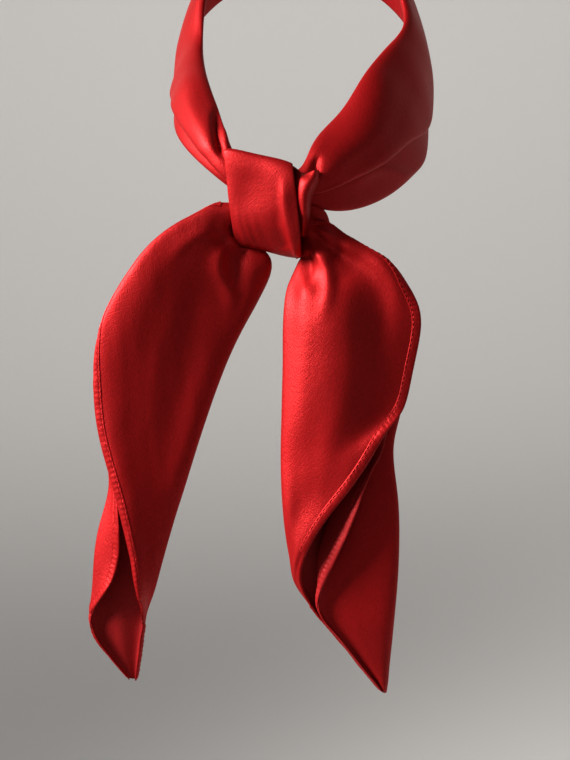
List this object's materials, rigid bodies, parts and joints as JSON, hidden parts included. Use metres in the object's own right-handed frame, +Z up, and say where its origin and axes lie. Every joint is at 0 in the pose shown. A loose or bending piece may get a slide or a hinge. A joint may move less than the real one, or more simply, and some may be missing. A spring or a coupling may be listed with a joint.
{
  "type": "silk neckerchief, tied",
  "caption": "Square satin neckerchief folded on the bias, worn round the neck and tied in front with one upright wrap over the knot and two hanging folded tails.",
  "frame": {"origin": "middle of the neck hollow, level with the middle of the band at its two sides", "axes": "+Z up along the wearer's neck, the knot and the tails towards -Y, +X to the right as seen from in front"},
  "size_m": [0.1686, 0.1965, 0.3629],
  "materials": {
    "silk": "red silk satin, glossy face and a duller wrong side, with a narrow machine-stitched double hem in matching red thread"
  },
  "bodies": {
    "root": {"neck_band": "silk", "knot_wrap": "silk", "tail_left": "silk", "tail_right": "silk"}
  },
  "joints": []
}
